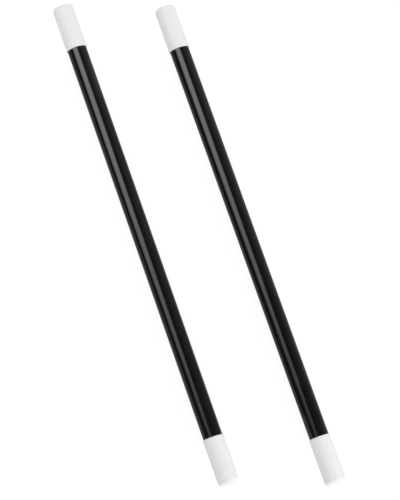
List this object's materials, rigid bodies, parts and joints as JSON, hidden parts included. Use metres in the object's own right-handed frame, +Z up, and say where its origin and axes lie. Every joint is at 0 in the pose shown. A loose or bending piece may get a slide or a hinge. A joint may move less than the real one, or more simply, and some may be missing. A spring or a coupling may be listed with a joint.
{
  "type": "training sticks",
  "caption": "Pair of slim rigid black plastic training sticks with soft white slip-over end caps, held in the hand to cue, block and tap targets in focus drills.",
  "frame": {"origin": "on the ground plane the sticks lie on, at the centre of the area the pair covers", "axes": "+X along both sticks from butt to tip, +Y from the right stick to the left stick, +Z up"},
  "size_m": [0.7034, 0.1542, 0.0272],
  "materials": {
    "black_tube": "glossy extruded hard plastic, black right through",
    "white_cap": "satin moulded soft vinyl, white",
    "tube_insert": "natural moulded polyethylene"
  },
  "bodies": {
    "left_stick": {"left_tube": "black_tube", "left_tip_cap": "white_cap", "left_butt_cap": "white_cap", "left_tip_plug": "tube_insert", "left_butt_plug": "tube_insert"},
    "right_stick": {"right_tube": "black_tube", "right_tip_cap": "white_cap", "right_butt_cap": "white_cap", "right_tip_plug": "tube_insert", "right_butt_plug": "tube_insert"}
  },
  "joints": [
    {"name": "right_stick_apart", "type": "slide", "parent": "left_stick", "child": "right_stick", "axis": [0, -1, 0], "range_m": [-0.0994, 0.323]}
  ]
}
